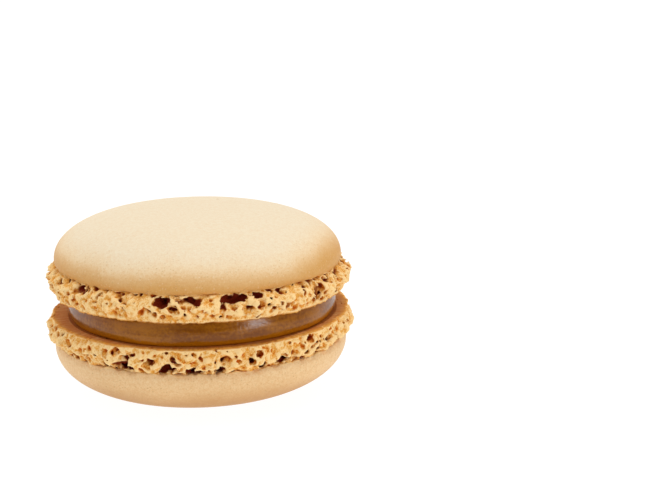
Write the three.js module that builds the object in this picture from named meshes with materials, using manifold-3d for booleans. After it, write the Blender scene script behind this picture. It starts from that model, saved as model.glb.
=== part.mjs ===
// A French macaron lying flat: two baked almond shells with a caramel filling between them.
// Each shell is one solid: a smooth domed crust on a ruffled, porous foot.
// Millimetres, +Z up. The origin is the centre of the small flat spot that the macaron rests on.

import * as THREE from "three";
import { mergeVertices } from "three/addons/utils/BufferGeometryUtils.js";
import Module from "manifold-3d";

const wasm = await Module();
wasm.setup();

// Driving dimensions of the two shells. rim is the radius of the foot's flat face, which lay on the
// baking sheet. The foot is foot high, and its belly swells beyond the rim, most at the share widest
// of its height. crust and dome are the radius and height of the smooth dome, roundness the exponent
// of its section and crown the radius of its flat spot. phase makes each shell's crags its own.
const BOTTOM = {
  rim: 22.5, foot: 4.0, belly: 0.6, widest: 0.47,
  crust: 22.3, dome: 8.3, roundness: 3.26, crown: 7, phase: 0.89,
};
const TOP = {
  rim: 22.15, foot: 4.05, belly: 0.9, widest: 0.62,
  crust: 21.8, dome: 7.6, roundness: 3.16, crown: 2, phase: 0.7,
};

// The filling: its radius where it meets the shells, how far its side bulges, how low the bulge sits
// (under 1 is lower), its height in the middle, and how far it lies to the right and the front.
const FILLING = { radius: 19.85, bulge: 0.45, sag: 0.75, height: 3.4, right: 0.35, front: 1.4 };
const SKIN_GAP = 0.02;

// How the top shell sits on the filling: moved a little to the left, with its front and left raised.
const TOP_SHIFT = -0.15;
const TOP_LEAN = new THREE.Euler(THREE.MathUtils.degToRad(-0.46), THREE.MathUtils.degToRad(0.57), 0);

// The crust's edge: how far its widest line lies above the seam, and how far it curls in below that.
const EDGE_RISE = 0.9;
const EDGE_CURL = 0.35;

// The foot: the share of its height that shows, and how far its hidden top reaches in under the
// crust and up into it.
const FOOT_SHOWS = 0.92;
const FOOT_TUCK = 0.95;
const CRUST_SINK = 0.3;

// The slow ruffle round the foot, as a sum of waves, strongest at half height.
const RUFFLE = 0.08;
const RUFFLE_WAVES = [5, 8, 13, 21];
const RUFFLE_AT_RIM = 0.45;

// Rows of hollows and lumps round a foot. up is the row's height as a share of the foot, across and
// tall are the smallest and largest half sizes, deep is the half depth, out moves the centres, slant
// is the largest turn, and seed keeps the rows apart.
const CAVERNS = {
  count: 29, up: 0.84, out: 0.3, deep: 2.3, across: [0.5, 1.75], tall: [0.4, 0.9], slant: 0.25, seed: 0,
};
const HOLES = {
  count: 28, up: 0.5, out: 0.2, deep: 1.3, across: [0.3, 0.75], tall: [0.25, 0.6], slant: 0.45, seed: 0.25,
};
const LUMPS = {
  count: 27, up: 0.47, out: -0.4, deep: 0.8, across: [0.7, 1.4], tall: [0.6, 1.05], slant: 0.35, seed: 0.5,
};
const SCATTER = 0.55;
const DRIFT = 0.3;

// Steps round the axis and along the profiles.
const CRUST_STEPS = 60;
const FOOT_STEPS = 75;
const FILLING_STEPS = 72;
const EDGE_ROWS = 2;
const DOME_ROWS = 8;
const FOOT_ROWS = 4;
const FILLING_ROWS = 5;

// How far a shell's surface may move when needless triangles are taken out.
const FLATNESS = 0.05;

// Four sequences of evenly spread numbers from 0 to 1, which stand for chance.
const SPREAD = [0.6180339887, 0.7548776662, 0.5698402909, 0.8191725134];
const spread = (index, which, phase) => {
  const value = (index + 1) * SPREAD[which] + phase;
  return value - Math.floor(value);
};
const between = ([low, high], share) => low + (high - low) * share;

// The foot's radius at a share of its height and an angle round it. The belly swells from the rim to
// its widest line and comes back in under the crust.
function footRadius(shell, share, angle) {
  const upTo = Math.min(1, share);
  const skew = Math.log(0.5) / Math.log(shell.widest);
  const belly = shell.belly * Math.sin(Math.PI * upTo ** skew);
  const ruffle = RUFFLE_WAVES.reduce(
    (sum, waves, i) => sum + Math.sin(waves * angle + 2 * Math.PI * spread(i, 0, shell.phase)), 0);
  const strength = RUFFLE_AT_RIM + (1 - RUFFLE_AT_RIM) * Math.sin(Math.PI * upTo);
  return shell.rim + belly + RUFFLE * strength * ruffle;
}

// A closed mesh as a solid, and a solid as geometry.
function solidFrom(geometry) {
  const bare = geometry.clone();
  bare.deleteAttribute("normal");
  bare.deleteAttribute("uv");
  const merged = mergeVertices(bare, 1e-4);
  return new wasm.Manifold(new wasm.Mesh({
    numProp: 3,
    vertProperties: merged.attributes.position.array,
    triVerts: new Uint32Array(merged.index.array),
  }));
}

function geometryFrom(solid) {
  const mesh = solid.getMesh();
  const geometry = new THREE.BufferGeometry();
  geometry.setAttribute("position", new THREE.BufferAttribute(mesh.vertProperties, 3));
  geometry.setIndex(new THREE.BufferAttribute(mesh.triVerts, 1));
  geometry.computeVertexNormals();
  return geometry;
}

// A shell is made with its foot's flat face down at height 0 and its dome above, along +Y.
// The dome is flat underneath, curled in at its edge, and a rounded disc in section above that.
function crustSolid(shell) {
  const profile = [new THREE.Vector2(0, shell.foot)];
  for (let row = 0; row < EDGE_ROWS; row++) {
    const share = row / EDGE_ROWS;
    const radius = shell.crust - EDGE_CURL * (1 - share) ** 2;
    profile.push(new THREE.Vector2(radius, shell.foot + EDGE_RISE * share));
  }
  const lastTurn = Math.acos((shell.crown / shell.crust) ** (shell.roundness / 2));
  const rise = (shell.dome - EDGE_RISE) / Math.sin(lastTurn);
  for (let row = 0; row <= DOME_ROWS; row++) {
    const turn = (lastTurn * row) / DOME_ROWS;
    const radius = shell.crust * Math.cos(turn) ** (2 / shell.roundness);
    profile.push(new THREE.Vector2(radius, shell.foot + EDGE_RISE + rise * Math.sin(turn)));
  }
  profile.push(new THREE.Vector2(0, shell.foot + shell.dome));
  return solidFrom(new THREE.LatheGeometry(profile, CRUST_STEPS));
}

// The foot without its hollows: a disc of radius 1, whose edge is then pushed out to the belly.
function footSolid(shell) {
  const profile = [new THREE.Vector2(0, 0)];
  for (let row = 0; row <= FOOT_ROWS; row++) {
    profile.push(new THREE.Vector2(1, (FOOT_SHOWS * shell.foot * row) / FOOT_ROWS));
  }
  profile.push(new THREE.Vector2(FOOT_TUCK, shell.foot + CRUST_SINK));
  profile.push(new THREE.Vector2(0, shell.foot + CRUST_SINK));
  const geometry = new THREE.LatheGeometry(profile, FOOT_STEPS);
  const place = geometry.attributes.position;
  for (let i = 0; i < place.count; i++) {
    const [x, y, z] = [place.getX(i), place.getY(i), place.getZ(i)];
    const radius = footRadius(shell, y / shell.foot, Math.atan2(z, x));
    place.setXYZ(i, x * radius, y, z * radius);
  }
  return solidFrom(geometry);
}

// One row of ellipsoids round the foot, each uneven in size, height, place and slant.
function ellipsoidRow(shell, row) {
  const made = [];
  for (let i = 0; i < row.count; i++) {
    const chance = (which) => spread(i, which, shell.phase + row.seed);
    const angle = ((i + 0.5 + SCATTER * (chance(0) - 0.5)) / row.count) * 2 * Math.PI;
    const height = shell.foot * row.up + between([-DRIFT, DRIFT], chance(3));
    const geometry = new THREE.IcosahedronGeometry(1, 0);
    geometry.scale(row.deep, between(row.tall, chance(2)), between(row.across, chance(1)));
    geometry.rotateX(between([-row.slant, row.slant], chance(2)));
    geometry.translate(footRadius(shell, height / shell.foot, angle) + row.out, height, 0);
    geometry.rotateY(-angle);
    made.push(solidFrom(geometry));
  }
  return wasm.Manifold.union(made);
}

// A whole shell: lumps are added to the foot, hollows are cut, and the crust goes on. What a hollow
// cuts loose is left out. At the end it is turned so that the flat face is at z = 0, the dome below.
function shellGeometry(shell) {
  const footSpace = new THREE.CylinderGeometry(2 * shell.rim, 2 * shell.rim, shell.foot);
  const lumps = ellipsoidRow(shell, LUMPS).intersect(solidFrom(footSpace.translate(0, shell.foot / 2, 0)));
  const foot = footSolid(shell)
    .add(lumps)
    .subtract(ellipsoidRow(shell, CAVERNS))
    .subtract(ellipsoidRow(shell, HOLES));
  const whole = foot.add(crustSolid(shell)).simplify(FLATNESS);
  const largest = whole.decompose().sort((a, b) => b.volume() - a.volume())[0];
  return geometryFrom(largest).rotateX(-Math.PI / 2);
}

// The filling: a disc that bulges at its side and is tucked in at the bottom. It is made 1 high, and
// each point is then raised to its share of the space below the leaning top shell.
function fillingGeometry() {
  const profile = [new THREE.Vector2(0, 0)];
  for (let row = 0; row <= FILLING_ROWS; row++) {
    const share = row / FILLING_ROWS;
    const radius = FILLING.radius + FILLING.bulge * Math.sin(Math.PI * share ** FILLING.sag);
    profile.push(new THREE.Vector2(radius, share));
  }
  profile.push(new THREE.Vector2(0, 1));
  const geometry = new THREE.LatheGeometry(profile, FILLING_STEPS).rotateX(Math.PI / 2);
  geometry.translate(FILLING.right, -FILLING.front, 0);
  const shellUp = new THREE.Vector3(0, 0, 1).applyEuler(TOP_LEAN);
  const place = geometry.attributes.position;
  for (let i = 0; i < place.count; i++) {
    const [x, y, share] = [place.getX(i), place.getY(i), place.getZ(i)];
    const lean = (shellUp.x * (x - TOP_SHIFT) + shellUp.y * y) / shellUp.z;
    place.setZ(i, share * (FILLING.height - lean - SKIN_GAP));
  }
  return geometry;
}

function foodMesh(name, geometry, color, roughness) {
  const mesh = new THREE.Mesh(geometry, new THREE.MeshStandardMaterial({ color, roughness, metalness: 0 }));
  mesh.name = name;
  return mesh;
}

// The stack, from the resting spot up. The bottom shell stands on its dome, and the top one is
// turned over.
const RIM_HEIGHT = BOTTOM.foot + BOTTOM.dome;

const bottomShell = foodMesh("bottom_shell", shellGeometry(BOTTOM), 0xe3bd84, 0.75);
bottomShell.position.z = RIM_HEIGHT;

const filling = foodMesh("filling", fillingGeometry(), 0x7d4f1c, 0.35);
filling.position.z = RIM_HEIGHT;

const topShell = foodMesh("top_shell", shellGeometry(TOP).rotateX(Math.PI), 0xecd0a0, 0.75);
topShell.position.set(TOP_SHIFT, 0, RIM_HEIGHT + FILLING.height);
topShell.rotation.copy(TOP_LEAN);

const macaron = new THREE.Group();
macaron.add(bottomShell, filling, topShell);

export default macaron;
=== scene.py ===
import math

import bpy
from mathutils import Euler, Matrix, Vector


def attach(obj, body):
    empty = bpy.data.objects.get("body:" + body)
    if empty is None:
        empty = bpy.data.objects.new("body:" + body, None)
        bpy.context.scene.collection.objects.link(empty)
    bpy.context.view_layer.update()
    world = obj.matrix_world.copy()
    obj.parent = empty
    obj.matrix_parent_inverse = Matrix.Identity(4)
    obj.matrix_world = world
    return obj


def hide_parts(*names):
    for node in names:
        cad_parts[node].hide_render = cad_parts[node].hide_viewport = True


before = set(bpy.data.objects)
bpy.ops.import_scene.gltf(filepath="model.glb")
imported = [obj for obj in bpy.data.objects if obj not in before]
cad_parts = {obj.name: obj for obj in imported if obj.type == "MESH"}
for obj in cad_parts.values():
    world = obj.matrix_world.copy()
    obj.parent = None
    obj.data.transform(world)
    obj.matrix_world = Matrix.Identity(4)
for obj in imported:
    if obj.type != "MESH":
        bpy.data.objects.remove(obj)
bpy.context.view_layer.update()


# The camera looks along +Y and a little down. The macaron stands left of the middle of the picture
# and below it, and the picture is turned a little, so that the right side stands higher.
PICTURE_WIDTH = 650
PICTURE_HEIGHT = 488
FOCAL_PIXELS = 1892
AIM = Vector((0, 0, 0.014))
AIM_ACROSS = 200.1
AIM_DOWN = 295.0
AIM_DISTANCE = 0.2909
ELEVATION = math.radians(15.6)
PICTURE_TURN = math.radians(2.03)
SENSOR_WIDTH = 36

right = Vector((1, 0, 0))
up = Vector((0, math.sin(ELEVATION), math.cos(ELEVATION)))
back = Vector((0, -math.cos(ELEVATION), math.sin(ELEVATION)))
aim_ray = Vector((
    (AIM_ACROSS - PICTURE_WIDTH / 2) / FOCAL_PIXELS,
    (PICTURE_HEIGHT / 2 - AIM_DOWN) / FOCAL_PIXELS,
    -1,
))
towards_aim = Vector((0, 0, -1)).rotation_difference(aim_ray).to_matrix()
seen_from_camera = towards_aim @ Matrix.Rotation(PICTURE_TURN, 3, "Z") @ Matrix((right, up, back))

camera = bpy.data.objects.new("camera", bpy.data.cameras.new("camera"))
camera.data.sensor_width = SENSOR_WIDTH
camera.data.lens = FOCAL_PIXELS * SENSOR_WIDTH / PICTURE_WIDTH
camera_turn = seen_from_camera.transposed().to_4x4()
camera.matrix_world = Matrix.Translation(AIM + AIM_DISTANCE * back) @ camera_turn
bpy.context.scene.collection.objects.link(camera)
bpy.context.scene.camera = camera


# The two shells are meringue of egg white, sugar and ground almonds, piped as rounds on a sheet.
# While they bake a skin dries into the smooth dome, and the batter that rises under it tears into a
# ruffled foot of foam. The foot's flat side is where it lay on the sheet. Sizes are in millimetres.
BOTTOM = {
    "Rim radius": 22.5, "Foot height": 4.0, "Belly": 0.6, "Widest share": 0.47,
    "Crust radius": 22.3, "Dome height": 8.3, "Roundness": 3.26, "Crown radius": 7.0, "Phase": 0.89,
}
TOP = {
    "Rim radius": 22.15, "Foot height": 4.05, "Belly": 0.9, "Widest share": 0.62,
    "Crust radius": 21.8, "Dome height": 7.6, "Roundness": 3.16, "Crown radius": 2.0, "Phase": 0.7,
}
MILLIMETRE = 0.001

# The filling that the two shells hold: its radius, how far it bulges, and how far it lies to the
# right and the front.
FILLING_RADIUS = 19.85
FILLING_BULGE = 0.45
FILLING_RIGHT = 0.35
FILLING_FRONT = 1.4

# The crust's edge overhangs the foot: its widest line lies above the seam, and it curls in below.
# The foam is built round the core.
EDGE_RISE = 0.9
EDGE_CURL = 0.35
CORE_RADIUS = 19.2
CRUST_STEPS = 256
EDGE_ROWS = 6
DOME_ROWS = 40


class Part:
    """One output of a node. Arithmetic on it adds the Math nodes that work the sum out."""

    def __init__(self, tree, socket):
        self.tree = tree
        self.socket = socket

    def __add__(self, other):
        return self.tree.math("ADD", self, other)

    def __radd__(self, other):
        return self.tree.math("ADD", other, self)

    def __sub__(self, other):
        return self.tree.math("SUBTRACT", self, other)

    def __rsub__(self, other):
        return self.tree.math("SUBTRACT", other, self)

    def __mul__(self, other):
        return self.tree.math("MULTIPLY", self, other)

    def __rmul__(self, other):
        return self.tree.math("MULTIPLY", other, self)

    def __truediv__(self, other):
        return self.tree.math("DIVIDE", self, other)

    def __rtruediv__(self, other):
        return self.tree.math("DIVIDE", other, self)

    def __pow__(self, other):
        return self.tree.math("POWER", self, other)


class Tree:
    """A node tree, with one way of adding any node to it."""

    def __init__(self, tree):
        self.tree = tree

    def feed(self, node, values):
        """Sets a node's sockets to values, or links them to a part or a list of parts."""
        for name, value in values.items():
            if isinstance(value, list):
                for part in value:
                    self.tree.links.new(part.socket, node.inputs[name])
            elif isinstance(value, Part):
                self.tree.links.new(value.socket, node.inputs[name])
            else:
                node.inputs[name].default_value = value

    def node(self, kind, settings=None, values=None, output=0):
        """Adds a node: its settings, then its sockets' values or links. Gives the output asked for,
        or a list of them."""
        made = self.tree.nodes.new(kind)
        for name, setting in (settings or {}).items():
            setattr(made, name, setting)
        self.feed(made, values or {})
        if isinstance(output, tuple):
            return [Part(self, made.outputs[name]) for name in output]
        return Part(self, made.outputs[output])

    def math(self, operation, *values):
        return self.node("ShaderNodeMath", {"operation": operation}, dict(enumerate(values)))

    def vector(self, operation, *values):
        return self.node("ShaderNodeVectorMath", {"operation": operation}, dict(enumerate(values)))

    def scaled(self, vector, factor):
        return self.node("ShaderNodeVectorMath", {"operation": "SCALE"}, {0: vector, "Scale": factor})

    def joined(self, x=0.0, y=0.0, z=0.0):
        """A vector from its three parts."""
        return self.node("ShaderNodeCombineXYZ", None, {0: x, 1: y, 2: z})

    def split(self, vector):
        """A vector's three parts."""
        return self.node("ShaderNodeSeparateXYZ", None, {0: vector}, ("X", "Y", "Z"))

    def from_axis(self, x, y):
        """How far a point is from the upright axis."""
        return self.math("SQRT", x * x + y * y)

    def noise(self, place, scale, detail, roughness=0.5, output=0):
        """Soft noise from 0 to 1. Its output named Color is three such numbers."""
        values = {"Vector": place, "Scale": scale, "Detail": detail, "Roughness": roughness}
        return self.node("ShaderNodeTexNoise", None, values, output)

    def cells(self, place, scale):
        """Scattered cells: how far a point is from the nearest one's middle, and that one's chance."""
        values = {"Vector": place, "Scale": scale}
        distance, colour = self.node(
            "ShaderNodeTexVoronoi", {"feature": "F1"}, values, ("Distance", "Color"))
        return distance, self.split(colour)[0]

    def smooth(self, value, low, high, at_low=0.0, at_high=1.0):
        """Goes gently from at_low to at_high as the value goes from low to high."""
        settings = {"interpolation_type": "SMOOTHSTEP"}
        ends = {"Value": value, "From Min": low, "From Max": high, "To Min": at_low, "To Max": at_high}
        return self.node("ShaderNodeMapRange", settings, ends)


def lathe(profile, steps):
    """A closed mesh from a profile of (radius, height) points that starts and ends on the axis."""
    middle = profile[1:-1]
    points = [(0, 0, profile[0][1]), (0, 0, profile[-1][1])]
    for radius, height in middle:
        for step in range(steps):
            angle = 2 * math.pi * step / steps
            points.append((radius * math.cos(angle), radius * math.sin(angle), height))
    faces = []
    last = 2 + (len(middle) - 1) * steps
    for step in range(steps):
        after = (step + 1) % steps
        faces.append((0, 2 + after, 2 + step))
        faces.append((1, last + step, last + after))
        for row in range(len(middle) - 1):
            low = 2 + row * steps
            faces.append((low + step, low + after, low + steps + after, low + steps + step))
    mesh = bpy.data.meshes.new("lathe")
    mesh.from_pydata(points, [], faces)
    return mesh


def crust_profile(shell):
    """The dome's section, with the solid core that its foam foot is built round. Flat side down."""
    foot = shell["Foot height"]
    crust = shell["Crust radius"]
    profile = [(0, 0), (CORE_RADIUS, 0), (CORE_RADIUS, foot)]
    for row in range(EDGE_ROWS):
        share = row / EDGE_ROWS
        profile.append((crust - EDGE_CURL * (1 - share) ** 2, foot + EDGE_RISE * share))
    last_turn = math.acos((shell["Crown radius"] / crust) ** (shell["Roundness"] / 2))
    rise = (shell["Dome height"] - EDGE_RISE) / math.sin(last_turn)
    for row in range(DOME_ROWS + 1):
        turn = last_turn * row / DOME_ROWS
        radius = crust * math.cos(turn) ** (2 / shell["Roundness"])
        profile.append((radius, foot + EDGE_RISE + rise * math.sin(turn)))
    profile.append((0, foot + shell["Dome height"]))
    return profile


# The slow ruffle round the foot, as a sum of waves, strongest at half height. SPREAD gives four
# sequences of evenly spread numbers from 0 to 1, which stand for chance.
RUFFLE = 0.08
RUFFLE_WAVES = (5, 8, 13, 21)
RUFFLE_AT_RIM = 0.45
SPREAD = (0.6180339887, 0.7548776662, 0.5698402909, 0.8191725134)


def foot_share(tree, size, height):
    """A height as a share of the foot's, from 0 to 1."""
    return tree.node("ShaderNodeClamp", None, {0: height / size["Foot height"]})


def foot_radius(tree, size, share, angle):
    """The radius of the foot's side at a share of its height and an angle round it."""
    skew = tree.math("LOGARITHM", 0.5, size["Widest share"])
    belly = size["Belly"] * tree.math("SINE", math.pi * share ** skew)
    ruffle = 0.0
    for i, waves in enumerate(RUFFLE_WAVES):
        start = tree.math("FRACT", (i + 1) * SPREAD[0] + size["Phase"])
        ruffle = tree.math("SINE", waves * angle + 2 * math.pi * start) + ruffle
    strength = RUFFLE_AT_RIM + (1 - RUFFLE_AT_RIM) * tree.math("SINE", math.pi * share)
    return size["Rim radius"] + belly + RUFFLE * strength * ruffle


# Rows of caverns and holes torn in the foam, and of lumps on it, each row spread round the foot.
# up is a row's height as a share of the foot, and out moves it outwards from the foot's side. deep
# is the half depth, across and tall are the least and greatest half sizes, and slant the most turn.
CAVERNS = {
    "count": 29, "up": 0.84, "out": 0.3, "deep": 2.3, "across": (0.5, 1.75), "tall": (0.4, 0.9),
    "slant": 0.25, "seed": 0.0,
}
HOLES = {
    "count": 28, "up": 0.5, "out": 0.2, "deep": 1.3, "across": (0.3, 0.75), "tall": (0.25, 0.6),
    "slant": 0.45, "seed": 0.25,
}
LUMPS = {
    "count": 27, "up": 0.47, "out": -0.4, "deep": 0.8, "across": (0.7, 1.4), "tall": (0.6, 1.05),
    "slant": 0.35, "seed": 0.5,
}
SCATTER = 0.55
DRIFT = 0.3
FAR_OFF = 1000.0


def between(limits, chance):
    low, high = limits
    return low + (high - low) * chance


def row_distance(tree, size, row, radius, angle, height):
    """How far a point is from the nearest of a row's ellipsoids, with less than 0 inside one."""
    turns = tree.math("FRACT", angle / (2 * math.pi)) * row["count"]
    nearest = FAR_OFF
    for neighbour in (-1, 0, 1):
        place = tree.math("FLOOR", turns) + neighbour
        index = tree.math("FLOORED_MODULO", place, row["count"])
        chance = [
            tree.math("FRACT", (index + 1) * spread + size["Phase"] + row["seed"]) for spread in SPREAD
        ]
        up = size["Foot height"] * row["up"] + DRIFT * (2 * chance[3] - 1)
        middle = place + 0.5 + SCATTER * (chance[0] - 0.5)
        along = (turns - middle) * (2 * math.pi / row["count"]) * radius
        over = height - up
        slant = row["slant"] * (2 * chance[2] - 1)
        cos = tree.math("COSINE", slant)
        sin = tree.math("SINE", slant)
        share = tree.math("MINIMUM", up / size["Foot height"], 1)
        side = foot_radius(tree, size, share, middle * (2 * math.pi / row["count"]))
        offset = tree.joined(
            (radius - side - row["out"]) / row["deep"],
            (over * cos + along * sin) / between(row["tall"], chance[2]),
            (along * cos - over * sin) / between(row["across"], chance[1]),
        )
        length = tree.node("ShaderNodeVectorMath", {"operation": "LENGTH"}, {0: offset}, "Value")
        nearest = tree.math("MINIMUM", length - 1, nearest)
    return nearest * row["tall"][1]


def bubble_distance(tree, place, bubbles, openness=1.0):
    """How far a point is outside the nearest bubble of a foam. The radii are shares of the cell."""
    distance, chance = tree.cells(tree.vector("ADD", place, bubbles["shift"]), 1 / bubbles["cell"])
    radius = between((bubbles["least"], bubbles["most"] * openness), chance)
    return bubbles["cell"] * (distance - radius)


# The foam between those rows. Slow noise bends all of it. Knobs are packed on its outside and
# bubbles of two sizes are left in it. Each NOISE is a scale and a detail. Each other group of four
# numbers is a range: from where to where a value changes, and what it is at the two ends.
PHASE_APART = 100
BEND_NOISE = (0.55, 3.0)
BEND = 1.4
SIDE_INSET = 0.05
LUMPS_STAND = 0.6
LUMPS_BLEND = 0.3
KNOBS = {"cell": 1.45, "least": 0.42, "most": 0.5, "shift": (0, 0, 0)}
KNOBS_STAND_UPWARDS = (0.0, 0.3, -0.2, -0.7)
TUCKED_UNDER_CRUST = (0.7, 1.0, 0.0, 0.6)
LARGE_BUBBLES = {"cell": 1.75, "least": 0.1, "most": 0.52, "shift": (7, 3, 5)}
SMALL_BUBBLES = {"cell": 1.05, "least": 0.1, "most": 0.47, "shift": (1, 9, 2)}
OPEN_UPWARDS = (0.02, 0.25, 0.3, 1.0)
OPEN_INWARDS = (0.6, 1.5, 1.0, 0.2)

# The edges of the rows' hollows are torn, and on one side of the foot the hollows stay small, as
# slow noise says. Grain roughens the foam's side, and less its flat rim.
TEAR_NOISE = (0.9, 3.0)
TORN_WIDER = 0.2
TORN_UNEVEN = 1.5
CALM_NOISE = (0.07, 0.0)
CALM_SHIFT = (290, 0, 0)
CALM = (0.45, 0.6, 0.0, 0.45)
HOLLOWS_BLEND = 0.2
GRAIN_NOISE = (2.0, 2.0)
GRAIN_ON_SIDE = 0.5
GRAIN_ON_RIM = 0.22

# The foam ring: how far it reaches in and up into the crust, how far its box stands clear of it, the
# size of the cells that its surface is made on, the density there, and how much flat parts of the
# surface are merged.
FOAM_INSIDE = 18.9
FOAM_SINK = 0.5
FOAM_MARGIN = 1.5
FOAM_ROOM_ABOVE = 1
FOAM_CELLS_BELOW = 3
FOAM_CELL = 0.18
FOAM_SURFACE = 0.5
FOAM_MERGING = 0.08


def own_place(tree, size, place):
    """Where a point reads noise, which is far off for the other shell, so that the two differ."""
    return tree.vector("ADD", place, tree.joined(z=size["Phase"] * PHASE_APART))


def foam_density(tree, size):
    """Over a half inside the foot's foam and under a half outside it."""
    place = tree.node("GeometryNodeInputPosition")
    height = tree.split(place)[2]
    share = foot_share(tree, size, height)
    bend = tree.noise(own_place(tree, size, place), *BEND_NOISE, output="Color")
    bent = tree.vector("ADD", place, tree.scaled(tree.vector("SUBTRACT", bend, (0.5, 0.5, 0.5)), BEND))
    own = own_place(tree, size, bent)
    x, y, bent_height = tree.split(bent)
    radius = tree.from_axis(x, y)
    angle = tree.math("ARCTAN2", y, x)

    side = foot_radius(tree, size, share, angle) - SIDE_INSET - radius
    lumps = -LUMPS_STAND * row_distance(tree, size, LUMPS, radius, angle, bent_height)
    knobs = bubble_distance(tree, own, KNOBS) * tree.smooth(share, *KNOBS_STAND_UPWARDS)
    tuck = tree.smooth(share, *TUCKED_UNDER_CRUST)
    body = tree.math("SMOOTH_MAX", side + knobs - tuck, lumps, LUMPS_BLEND)

    openness = tree.smooth(share, *OPEN_UPWARDS) * tree.smooth(side, *OPEN_INWARDS)
    bubbles = tree.math(
        "MINIMUM",
        bubble_distance(tree, own, LARGE_BUBBLES, openness),
        bubble_distance(tree, own, SMALL_BUBBLES, openness),
    )
    caverns = row_distance(tree, size, CAVERNS, radius, angle, bent_height)
    holes = row_distance(tree, size, HOLES, radius, angle, bent_height)
    tears = tree.noise(own, *TEAR_NOISE) - 0.5
    calm = tree.noise(tree.vector("ADD", own, CALM_SHIFT), *CALM_NOISE)
    torn = tree.math("MINIMUM", caverns, holes) - TORN_WIDER + tears * TORN_UNEVEN
    torn = torn + tree.smooth(calm, *CALM)
    hollows = tree.math("MINIMUM", torn, bubbles)
    body = tree.math("SMOOTH_MIN", body, hollows, HOLLOWS_BLEND)

    grain = tree.noise(own, *GRAIN_NOISE) - 0.5
    body = body + grain * GRAIN_ON_SIDE
    rim = height + grain * GRAIN_ON_RIM
    inside = radius - FOAM_INSIDE
    top = size["Foot height"] + FOAM_SINK - height
    ends = tree.math("MINIMUM", tree.math("MINIMUM", rim, inside), top)
    return FOAM_SURFACE + tree.math("MINIMUM", body, ends)


# The waves in the crust's lower edge: their noise, how tall they are, how far up they reach and how
# far out from the core they start.
LIP_NOISE = (0.7, 2.0)
LIP_UNEVEN = 1.3
LIP_TALL = 1.2
LIP_STARTS = 1


def uneven_lip(tree, size):
    """The crust with its lower edge a little wavy, where the rising foam tore it from the sheet."""
    place = tree.node("GeometryNodeInputPosition")
    x, y, height = tree.split(place)
    waves = tree.noise(own_place(tree, size, place), *LIP_NOISE)
    outside = tree.smooth(tree.from_axis(x, y), CORE_RADIUS, CORE_RADIUS + LIP_STARTS)
    low = tree.smooth(height - size["Foot height"], 0, LIP_TALL, 1.0, 0.0)
    moved = tree.joined(z=outside * low * (waves - 0.5) * LIP_UNEVEN)
    return tree.node("GeometryNodeSetPosition", None, {"Geometry": size["Geometry"], "Offset": moved})


def largest_island(tree, geometry):
    """The geometry without the crumbs and the closed bubbles that hang on to nothing."""
    island = tree.node("GeometryNodeInputMeshIsland")
    faces = tree.node(
        "GeometryNodeAccumulateField", {"data_type": "INT", "domain": "FACE"},
        {"Value": 1, "Group ID": island}, "Total",
    )
    most = tree.node(
        "GeometryNodeAttributeStatistic", {"data_type": "FLOAT", "domain": "FACE"},
        {"Geometry": geometry, "Attribute": faces}, "Max",
    )
    small = tree.node(
        "FunctionNodeCompare", {"data_type": "FLOAT", "operation": "LESS_THAN"},
        {0: faces, 1: most},
    )
    return tree.node(
        "GeometryNodeDeleteGeometry", {"domain": "FACE"},
        {"Geometry": geometry, "Selection": small},
    )


# How many times the surface is smoothed before a point's height above it is measured.
SMOOTHINGS = {"crest": 6, "bulk": 36}


def marked(tree, size, geometry):
    """The geometry with the measures that its colours follow, in millimetres: height above the flat
    side, depth below the foot's side, and how far a small crest and a large bulk stand out."""
    place = tree.node("GeometryNodeInputPosition")
    x, y, height = tree.split(place)
    share = foot_share(tree, size, height)
    side = foot_radius(tree, size, share, tree.math("ARCTAN2", y, x))
    measures = {"height": height, "depth": side - tree.from_axis(x, y)}
    for name, iterations in SMOOTHINGS.items():
        around = tree.node(
            "GeometryNodeBlurAttribute", {"data_type": "FLOAT_VECTOR"},
            {"Value": place, "Iterations": iterations},
        )
        measures[name] = tree.node(
            "ShaderNodeVectorMath", {"operation": "DOT_PRODUCT"},
            {0: tree.vector("SUBTRACT", place, around), 1: tree.node("GeometryNodeInputNormal")},
            "Value",
        )
    for name, value in measures.items():
        geometry = tree.node(
            "GeometryNodeStoreNamedAttribute", {"data_type": "FLOAT", "domain": "POINT"},
            {"Geometry": geometry, "Name": name, "Value": value},
        )
    return geometry


def foam_ring(tree, size):
    """The foam as a mesh: its density on a box of cells, and the surface where it is a half."""
    reach = size["Rim radius"] + FOAM_MARGIN
    tall = size["Foot height"] + FOAM_ROOM_ABOVE
    across = tree.node("FunctionNodeFloatToInt", None, {0: 2 * reach / FOAM_CELL})
    upright = tree.node("FunctionNodeFloatToInt", None, {0: tall / FOAM_CELL + FOAM_CELLS_BELOW})
    volume = tree.node("GeometryNodeVolumeCube", None, {
        "Density": foam_density(tree, size), "Background": 0.0,
        "Min": tree.joined(0 - reach, 0 - reach, -FOAM_CELLS_BELOW * FOAM_CELL),
        "Max": tree.joined(reach, reach, tall),
        "Resolution X": across, "Resolution Y": across, "Resolution Z": upright,
    })
    return tree.node(
        "GeometryNodeVolumeToMesh", {"resolution_mode": "GRID"},
        {"Volume": volume, "Threshold": FOAM_SURFACE, "Adaptivity": FOAM_MERGING},
    )


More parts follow.
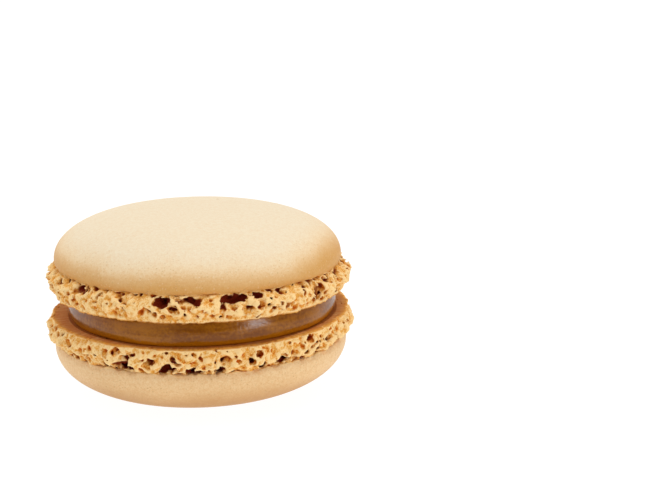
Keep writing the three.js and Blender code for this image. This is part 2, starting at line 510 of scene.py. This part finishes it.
def shell_tree():
    """Geometry Nodes that grow the foam foot on a crust and give both their material."""
    group = bpy.data.node_groups.new("macaron shell", "GeometryNodeTree")
    group.is_modifier = True
    group.interface.new_socket("Geometry", in_out="OUTPUT", socket_type="NodeSocketGeometry")
    group.interface.new_socket("Geometry", in_out="INPUT", socket_type="NodeSocketGeometry")
    for name in BOTTOM:
        group.interface.new_socket(name, in_out="INPUT", socket_type="NodeSocketFloat")
    group.interface.new_socket("Material", in_out="INPUT", socket_type="NodeSocketMaterial")
    tree = Tree(group)
    given = ("Geometry", *BOTTOM, "Material")
    size = dict(zip(given, tree.node("NodeGroupInput", None, None, given)))

    foam = largest_island(tree, foam_ring(tree, size))
    whole = tree.node(
        "GeometryNodeMeshBoolean", {"operation": "UNION", "solver": "MANIFOLD"},
        {"Mesh 2": [uneven_lip(tree, size), foam]}, "Mesh",
    )
    whole = marked(tree, size, largest_island(tree, whole))
    whole = tree.node("GeometryNodeRealizeInstances", None, {0: whole})
    whole = tree.node("GeometryNodeSetShadeSmooth", None, {"Geometry": whole})
    whole = tree.node("GeometryNodeSetMaterial", None, {"Geometry": whole, "Material": size["Material"]})
    tree.node("NodeGroupOutput", None, {"Geometry": whole}, ())
    return group


def plain_mesh(piece):
    """The piece with its modifiers' result as its own mesh."""
    depsgraph = bpy.context.evaluated_depsgraph_get()
    mesh = bpy.data.meshes.new_from_object(
        piece.evaluated_get(depsgraph), preserve_all_data_layers=True, depsgraph=depsgraph)
    piece.modifiers.clear()
    piece.data = mesh
    return mesh


# The standard screen curve, by which a colour's 0 to 255 values stand for amounts of light.
SCREEN_STEPS = 255
STRAIGHT_BELOW = 0.04045
STRAIGHT_SLOPE = 12.92
CURVE_SHIFT = 0.055
CURVE_POWER = 2.4


def amount_of_light(value):
    """What one value of a colour on a screen is to a shader."""
    step = value / SCREEN_STEPS
    if step < STRAIGHT_BELOW:
        return step / STRAIGHT_SLOPE
    return ((step + CURVE_SHIFT) / (1 + CURVE_SHIFT)) ** CURVE_POWER


def paint(red, green, blue):
    """A colour for a shader from the 0 to 255 values of a colour on a screen."""
    return (amount_of_light(red), amount_of_light(green), amount_of_light(blue), 1)


# Which of a Mix node's inputs and outputs are the ones for colours.
FIRST_COLOUR = 6
SECOND_COLOUR = 7
MIXED_COLOUR = 2


def blend(tree, share, first, second, way="MIX"):
    """One colour turning into another as the share goes from 0 to 1."""
    settings = {"data_type": "RGBA", "blend_type": way}
    values = {0: share, FIRST_COLOUR: first, SECOND_COLOUR: second}
    return tree.node("ShaderNodeMix", settings, values, MIXED_COLOUR)


def place_on_piece(tree):
    """Where a point is on its piece, in millimetres."""
    return tree.scaled(tree.node("ShaderNodeTexCoord", None, None, "Object"), 1 / MILLIMETRE)


# Clouds, flour and fine grain in the colours, each as a scale, a detail and how rough it is.
CLOUD_NOISE = (0.11, 3.0, 0.5)
FLOUR_NOISE = (1.9, 4.0, 0.7)
FINE_NOISE = (5.0, 2.0, 0.5)

# The skin, by how far up the dome it is as a share of it, which clouds shift. From lip to crown its
# colour is partly baked and partly painted shade, darker where the dome turns away from the overhead
# lamp, and the left edge and more so the right side are painted browner as shade. A range of four
# numbers also says the share at its two ends.
CLOUDS_SHIFT = 0.3
PAINTED_SHADE_AT_LEFT_EDGE = (-22, -10, 0.0, 0.07)
PAINTED_SHADE_TO_RIGHT = (10, 22, 0.0, 0.21)
LIP_TO_SHOULDER = (0.08, 0.6)
SHOULDER_TO_CROWN = (0.3, 0.8)
FLOUR_MOTTLE = (0.3, 0.75, 0.0, 0.3)
FINE_MOTTLE = (0.35, 0.7, 0.0, 0.3)
FINE_MOTTLE_UPWARDS = (0.3, 1.0, 1.0, 0.5)

# Dust of ground almond in the skin, as (paint, strength, shift), and a few larger brown specks.
DUSTS = (("freckle", 0.6, 0), ("crown", 0.3, 50))
DUST_SCALE = 2.5
DUST_RARITY = 2.0
DUST_EDGE = (0.1, 0.4)
DUST_UPWARDS = (0.3, 0.9, 1.0, 0.2)
SPECK_SCALE = 0.3
SPECK_RARITY = 3.0
SPECK_SIZE = 0.09
SPECK_STRENGTH = 0.85


def skin_colour(tree, shell, paints, surface):
    """The dome's skin: lip, shoulder and crown from its edge up, with painted shade where it turns
    from the overhead lamp and at its sides, mottled, dusted and specked.
    """
    place, flour, fine = [surface[name] for name in ("place", "flour", "fine")]
    across = tree.split(place)[0]
    above = (surface["height"] - shell["Foot height"]) / shell["Dome height"]
    above = above + (surface["cloud"] - 0.5) * CLOUDS_SHIFT
    # Painted shade: the left edge and more so the right side are made browner.
    above = above + tree.smooth(across, *PAINTED_SHADE_AT_LEFT_EDGE) - tree.smooth(across, *PAINTED_SHADE_TO_RIGHT)
    # Lip to shoulder to crown: partly baked colour, partly painted shade where the dome turns from the
    # overhead lamp.
    skin = blend(tree, tree.smooth(above, *LIP_TO_SHOULDER), paints["lip"], paints["shoulder"])
    skin = blend(tree, tree.smooth(above, *SHOULDER_TO_CROWN), skin, paints["crown"])
    skin = blend(tree, tree.smooth(flour, *FLOUR_MOTTLE), skin, paints["shoulder"], "MULTIPLY")
    mottle = tree.smooth(fine, *FINE_MOTTLE) * tree.smooth(above, *FINE_MOTTLE_UPWARDS)
    skin = blend(tree, mottle, skin, paints["shoulder"], "MULTIPLY")

    dusty = tree.smooth(above, *DUST_UPWARDS)
    for dust, strength, shift in DUSTS:
        distance, chance = tree.cells(tree.vector("ADD", place, (shift, 0, 0)), DUST_SCALE)
        grain = tree.smooth(distance, *DUST_EDGE, strength, 0.0) * (dusty * chance ** DUST_RARITY)
        skin = blend(tree, grain, skin, paints[dust])
    distance, chance = tree.cells(place, SPECK_SCALE)
    specks = tree.math("LESS_THAN", distance, chance ** SPECK_RARITY * SPECK_SIZE)
    return blend(tree, specks * SPECK_STRENGTH, skin, paints["freckle"])


# The foam, painted paler on what stands out and golden brown to dark in what lies deep: painted
# light on its crests and painted shade in its hollows and pits. The tone is how far a point stands
# out, with the bulk, the fine grain and the flour counted less.
TONE_BULK = 0.7
TONE_FINE = 0.65
TONE_FLOUR = 0.45
CRUMB_TO_PAINTED_CREST_LIGHT = (-0.08, 0.22)
CRUMB_TO_PAINTED_HOLLOW_SHADE = (0.04, 0.3)
PIT_BULK = 1.5
INTO_PAINTED_PIT_SHADE = (0.8, 1.6)


def foam_colour_with_painted_shade(tree, paints, surface):
    """The torn foam of the foot's side, with painted light on its crests and painted shade in its
    hollows and pits.
    """
    tone = surface["crest"] + TONE_BULK * surface["bulk"]
    tone = tone + (surface["fine"] - 0.5) * TONE_FINE + (surface["flour"] - 0.5) * TONE_FLOUR
    # Painted light on crests, painted shade in hollows, and darker painted shade deep in pits.
    foam = blend(tree, tree.smooth(tone, *CRUMB_TO_PAINTED_CREST_LIGHT), paints["crumb"], paints["crest"])
    foam = blend(tree, tree.smooth(0 - tone, *CRUMB_TO_PAINTED_HOLLOW_SHADE), foam, paints["hollow"])
    sunk = surface["depth"] - PIT_BULK * surface["bulk"]
    return blend(tree, tree.smooth(sunk, *INTO_PAINTED_PIT_SHADE), foam, paints["pit_shade"])


# The foot's flat side: cloudy, golden at its rim, with faint streaks outwards from where it was
# pulled off the sheet, and brown with painted shade in the crease by the filling, further out at
# the front under the top shell's overhang.
SOLE_CLOUDS = (0.8, 1.3, 0.0, 0.5)
SOLE_RIM = (0.0, 0.9, 0.8, 0.0)
STREAKS_ROUND = 26
STREAKS_ALONG = (0.35, 0.35, 0)
STREAK_NOISE = (1.0, 2.0)
DARK_STREAKS = (0.45, 0.65, 0.0, 0.3)
PALE_STREAKS = (0.45, 0.3, 0.0, 0.3)
CREASE_SHADE_FROM_FRONT = (-21, -15, 1.8, 0.25)
CREASE_SHADE_FADE = (0.0, 1.0, 0.8, 0.0)


def sole_colour(tree, paints, surface):
    """The foot's flat side, which lay on the sheet, with painted shade in the crease by the filling."""
    place, cloud, flour = [surface[name] for name in ("place", "cloud", "flour")]
    sole = blend(tree, tree.smooth(flour + cloud, *SOLE_CLOUDS), paints["flat"], paints["hollow"])
    rim = tree.smooth(surface["depth"] + (flour - 0.5), *SOLE_RIM)
    sole = blend(tree, rim, sole, paints["crumb"])

    from_filling = tree.vector("SUBTRACT", place, (FILLING_RIGHT, -FILLING_FRONT, 0))
    outwards = tree.vector("NORMALIZE", tree.vector("MULTIPLY", from_filling, (1, 1, 0)))
    along = tree.vector("MULTIPLY", place, STREAKS_ALONG)
    streaks = tree.noise(tree.vector("ADD", tree.scaled(outwards, STREAKS_ROUND), along), *STREAK_NOISE)
    sole = blend(tree, tree.smooth(streaks, *DARK_STREAKS), sole, paints["hollow"])
    sole = blend(tree, tree.smooth(streaks, *PALE_STREAKS), sole, paints["crest"])

    # Painted shade in the crease by the filling, reaching further out at the front.
    x, y, _ = tree.split(from_filling)
    gap = tree.from_axis(x, y) - FILLING_RADIUS - FILLING_BULGE
    crease_shade = gap / tree.smooth(y, *CREASE_SHADE_FROM_FRONT) + (cloud - 0.5)
    return blend(tree, tree.smooth(crease_shade, *CREASE_SHADE_FADE), sole, paints["crease_shade"])


# Where the sole ends and the skin begins, how ragged the seam is, and how dull, glossy and bumpy the
# skin and the foam are.
SOLE_TO_FOAM = (0.12, 0.3)
SEAM_RAGGED = 0.5
SEAM_BELOW = 0.1
SEAM_ABOVE = 0.15
CRUST_SPECULAR = 0.15
FOAM_ROUGHNESS = 0.85
SKIN_SMOOTHER = 0.25
FINE_ROUGHER = 0.1
SKIN_COAT = 0.15
COAT_ROUGHNESS = 0.5
SKIN_BUMPS = 0.03
FOAM_BUMPS = 0.2
# On the foam the crest paint is painted light and the hollow and pit paints are painted shade; the sole
# uses crest and hollow for its streaks and clouds, and its crease paint by the filling is painted shade.
FOAM_PAINTS = {
    "crest": paint(254, 216, 152), "crumb": paint(232, 164, 68), "hollow": paint(204, 98, 4),
    "pit_shade": paint(116, 30, 2), "flat": paint(226, 164, 98), "crease_shade": paint(150, 76, 4),
}


def crust_material(name, shell, skin_paints):
    """Baked meringue: a dull, fine-grained dome, browner at its lip partly by baking and partly as
    painted shade, over an open golden foam with painted light and shade on its relief.
    """
    material = bpy.data.materials.new(name)
    material.use_nodes = True
    tree = Tree(material.node_tree)
    paints = {**FOAM_PAINTS, **skin_paints}
    place = place_on_piece(tree)
    surface = {
        "place": place,
        "cloud": tree.noise(place, *CLOUD_NOISE),
        "flour": tree.noise(place, *FLOUR_NOISE),
        "fine": tree.noise(place, *FINE_NOISE),
    }
    for measure in ("height", "depth", "crest", "bulk"):
        surface[measure] = tree.node("ShaderNodeAttribute", {"attribute_name": measure}, None, "Fac")

    foot = shell["Foot height"]
    seam = surface["height"] + (surface["flour"] - 0.5) * SEAM_RAGGED
    is_skin = tree.smooth(seam, foot - SEAM_BELOW, foot + SEAM_ABOVE)
    is_foam = tree.smooth(surface["height"], *SOLE_TO_FOAM)
    foam = blend(tree, is_foam, sole_colour(tree, paints, surface), foam_colour_with_painted_shade(tree, paints, surface))
    fine = surface["fine"]
    bumps = (surface["flour"] * 0.5 + fine * 0.5) * (SKIN_BUMPS + FOAM_BUMPS * (1 - is_skin))
    tree.feed(material.node_tree.nodes["Principled BSDF"], {
        "Base Color": blend(tree, is_skin, foam, skin_colour(tree, shell, paints, surface)),
        "Roughness": FOAM_ROUGHNESS - SKIN_SMOOTHER * is_skin + (fine - 0.5) * FINE_ROUGHER,
        "Specular IOR Level": CRUST_SPECULAR,
        "Coat Weight": SKIN_COAT * is_skin,
        "Coat Roughness": COAT_ROUGHNESS,
        "Normal": tree.node("ShaderNodeBump", None, {"Distance": MILLIMETRE, "Height": bumps}),
    })
    return material


def shell_piece(name, shell, tree, material, place):
    """One shell, put where its solid is."""
    piece = bpy.data.objects.new(name, lathe(crust_profile(shell), CRUST_STEPS))
    bpy.context.scene.collection.objects.link(piece)
    modifier = piece.modifiers.new("foam foot", "NODES")
    modifier.node_group = tree
    for socket in tree.interface.items_tree:
        if socket.name in shell:
            modifier[socket.identifier] = shell[socket.name]
        elif socket.name == "Material":
            modifier[socket.identifier] = material
    mesh = plain_mesh(piece)
    mesh.transform(place)
    mesh.flip_normals()
    return piece


shells = shell_tree()
rim_height = BOTTOM["Foot height"] + BOTTOM["Dome height"]
millimetres = Matrix.Scale(MILLIMETRE, 4)
# The bottom shell's crown is its underside, by the floor. Its paints darken from lip to crown as painted
# shade.
bottom_crust = crust_material("bottom crust", BOTTOM, {
    "crown": paint(200, 151, 93), "shoulder": paint(233, 196, 145), "lip": paint(242, 208, 159),
    "freckle": paint(186, 142, 82),
})
bottom_place = millimetres @ Matrix.Translation((0, 0, rim_height)) @ Matrix.Scale(-1, 4, (0, 0, 1))
bottom_shell = shell_piece("bottom_shell_visual", BOTTOM, shells, bottom_crust, bottom_place)
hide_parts("bottom_shell")
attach(bottom_shell, "root")

# The top shell is turned over. It sits a little to the left, with its front and left raised.
FILLING_HEIGHT = 3.4
TOP_SHIFT = -0.15
TOP_LEAN = Euler((math.radians(-0.46), math.radians(0.57), 0))
# The top shell's browner lip paint is partly baked colour and partly painted shade where its dome turns
# down from the overhead lamp.
top_crust = crust_material("top crust", TOP, {
    "crown": paint(241, 226, 198), "shoulder": paint(241, 213, 169), "lip": paint(216, 165, 94),
    "freckle": paint(196, 152, 90),
})
top_place = (
    millimetres
    @ Matrix.Translation((TOP_SHIFT, 0, rim_height + FILLING_HEIGHT))
    @ TOP_LEAN.to_matrix().to_4x4()
    @ Matrix.Scale(-1, 4, (0, 1, 0))
)
top_shell = shell_piece("top_shell_visual", TOP, shells, top_crust, top_place)
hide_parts("top_shell")
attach(top_shell, "root")


# The filling is caramel cooked thick with butter and cream, piped on the bottom shell and pressed
# flat by the top one, so that its side bulges out and is tucked in under the bulge.
FILLING_SAG = 0.75
FILLING_ROWS = 24
FILLING_STEPS = 192
SKIN_GAP = 0.02
WOBBLE = 0.05
WOBBLE_WAVES = (2, 3, 5, 9)
WOBBLE_START = 2.4


def filling_mesh():
    """A disc made 1 high, whose points are raised to their share of the space below the top shell."""
    profile = [(0, 0)]
    for row in range(FILLING_ROWS + 1):
        share = row / FILLING_ROWS
        bulge = FILLING_BULGE * math.sin(math.pi * share ** FILLING_SAG)
        profile.append((FILLING_RADIUS + bulge, share))
    profile.append((0, 1))
    mesh = lathe(profile, FILLING_STEPS)
    shell_up = Vector((0, 0, 1))
    shell_up.rotate(TOP_LEAN)
    for point in mesh.vertices:
        x, y, share = point.co
        angle = math.atan2(y, x)
        wobble = 0
        for i, waves in enumerate(WOBBLE_WAVES):
            wobble += math.sin(waves * angle + WOBBLE_START * i + (1 + i) * share)
        grow = 1 + WOBBLE * wobble / FILLING_RADIUS
        x = x * grow + FILLING_RIGHT
        y = y * grow - FILLING_FRONT
        lean = (shell_up.x * (x - TOP_SHIFT) + shell_up.y * y) / shell_up.z
        point.co = (x, y, rim_height + share * (FILLING_HEIGHT - lean - SKIN_GAP))
    mesh.transform(millimetres)
    mesh.shade_smooth()
    return mesh


# Smears lie along the caramel's side. Its colour is mottled by them, by clouds and by fine grain,
# and its lowest edge, where it is thin, is painted paler, a painted glow of the light it lets
# through.
SMEARS_ALONG = (0.12, 0.12, 1.4)
SMEAR_NOISE = (1.0, 4.0)
CARAMEL_CLOUD_NOISE = (0.2, 3.0)
CARAMEL_FINE_NOISE = (2.5, 3.0)
MOTTLE_CLOUD = 0.4
MOTTLE_SMEARS = 0.3
MOTTLE_FINE = 0.3
MOTTLE = (0.38, 0.62)
PAINTED_GLOW_UNEVEN = 0.4
PAINTED_GLOW_AT_EDGE = (0.0, 1.1, 1.0, 0.0)
CARAMEL_PAINTS = {"dark": paint(120, 64, 0), "pale": paint(160, 98, 12), "thin_edge_glow": paint(176, 102, 4)}
CARAMEL_SPECULAR = 0.3
CARAMEL_ROUGHNESS = 0.13
SMEARS_ROUGHER = 0.15
SMEAR_BUMPS = 0.05
FINE_BUMPS = 0.035


def caramel():
    """Cooked caramel: brown, a little cloudy, with a smooth wet sheen and fine smears along it."""
    material = bpy.data.materials.new("caramel")
    material.use_nodes = True
    tree = Tree(material.node_tree)
    place = place_on_piece(tree)
    smears = tree.noise(tree.vector("MULTIPLY", place, SMEARS_ALONG), *SMEAR_NOISE)
    cloud = tree.noise(place, *CARAMEL_CLOUD_NOISE)
    fine = tree.noise(place, *CARAMEL_FINE_NOISE)
    mottle = cloud * MOTTLE_CLOUD + smears * MOTTLE_SMEARS + fine * MOTTLE_FINE
    colour = blend(tree, tree.smooth(mottle, *MOTTLE), CARAMEL_PAINTS["dark"], CARAMEL_PAINTS["pale"])
    above_edge = tree.split(place)[2] - rim_height
    # Painted light: the thin lowest edge is made paler, as light glowing through it.
    thin_edge_glow = tree.smooth(above_edge + (smears - 0.5) * PAINTED_GLOW_UNEVEN, *PAINTED_GLOW_AT_EDGE)
    bumps = smears * SMEAR_BUMPS + fine * FINE_BUMPS
    tree.feed(material.node_tree.nodes["Principled BSDF"], {
        "Base Color": blend(tree, thin_edge_glow, colour, CARAMEL_PAINTS["thin_edge_glow"]),
        "Roughness": CARAMEL_ROUGHNESS + SMEARS_ROUGHER * smears,
        "Specular IOR Level": CARAMEL_SPECULAR,
        "Normal": tree.node("ShaderNodeBump", None, {"Distance": MILLIMETRE, "Height": bumps}),
    })
    return material


filling = bpy.data.objects.new("filling_visual", filling_mesh())
bpy.context.scene.collection.objects.link(filling)
filling.data.materials.append(caramel())
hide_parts("filling")
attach(filling, "root")


# A wide pale floor that glows, as a light table does, in a soft studio: a white tent that is bright
# overhead, behind and at the left and dark in front, a large lamp overhead and a small one at the
# right, whose glint shows on the filling. The floor lies a hair below the macaron.
FLOOR_REACH = 8
FLOOR_DROP = 0.0001
FLOOR_PAINT = paint(90, 90, 90)
FLOOR_ROUGHNESS = 0.9
FLOOR_GLOW = 0.95
WHITE = (1, 1, 1, 1)
LAMPS = {
    "overhead": {"place": Vector((0.06, -0.04, 0.6)), "wide": 0.35, "tall": 0.35, "watts": 1.08},
    "glint": {"place": Vector((0.268, -0.297, 0.045)), "wide": 0.1, "tall": 0.06, "watts": 0.34},
}
TENT_OVERHEAD = 0.75
TENT_BEHIND = 0.5
TENT_BESIDE = 0.4
TENT_AT_LEFT = 0.35
TENT = (-0.4, 0.8, 0.06, 0.9)

corners = [
    (x * FLOOR_REACH, y * FLOOR_REACH, -FLOOR_DROP) for x, y in ((-1, -1), (1, -1), (1, 1), (-1, 1))
]
floor_mesh = bpy.data.meshes.new("floor")
floor_mesh.from_pydata(corners, [], [(0, 1, 2, 3)])
floor = bpy.data.objects.new("floor", floor_mesh)
bpy.context.scene.collection.objects.link(floor)
pale_floor = bpy.data.materials.new("pale floor")
pale_floor.use_nodes = True
Tree(pale_floor.node_tree).feed(pale_floor.node_tree.nodes["Principled BSDF"], {
    "Base Color": FLOOR_PAINT,
    "Roughness": FLOOR_ROUGHNESS,
    "Emission Color": WHITE,
    "Emission Strength": FLOOR_GLOW,
})
floor_mesh.materials.append(pale_floor)

for name, given in LAMPS.items():
    lamp = bpy.data.objects.new(name, bpy.data.lights.new(name, "AREA"))
    lamp.data.shape = "RECTANGLE"
    lamp.data.size = given["wide"]
    lamp.data.size_y = given["tall"]
    lamp.data.energy = given["watts"]
    lamp.location = given["place"]
    lamp.rotation_euler = (AIM - given["place"]).to_track_quat("-Z", "Y").to_euler()
    bpy.context.scene.collection.objects.link(lamp)

studio = bpy.data.worlds.new("studio")
studio.use_nodes = True
tree = Tree(studio.node_tree)
beside, behind, overhead = tree.split(tree.node("ShaderNodeTexCoord", None, None, "Generated"))
towards_walls = TENT_OVERHEAD * overhead + TENT_BEHIND * behind
towards_walls = towards_walls + TENT_BESIDE * tree.math("ABSOLUTE", beside) - TENT_AT_LEFT * beside
tree.feed(studio.node_tree.nodes["Background"], {
    "Color": WHITE,
    "Strength": tree.smooth(towards_walls, *TENT),
})
bpy.context.scene.world = studio
bpy.context.scene.view_settings.view_transform = "Standard"
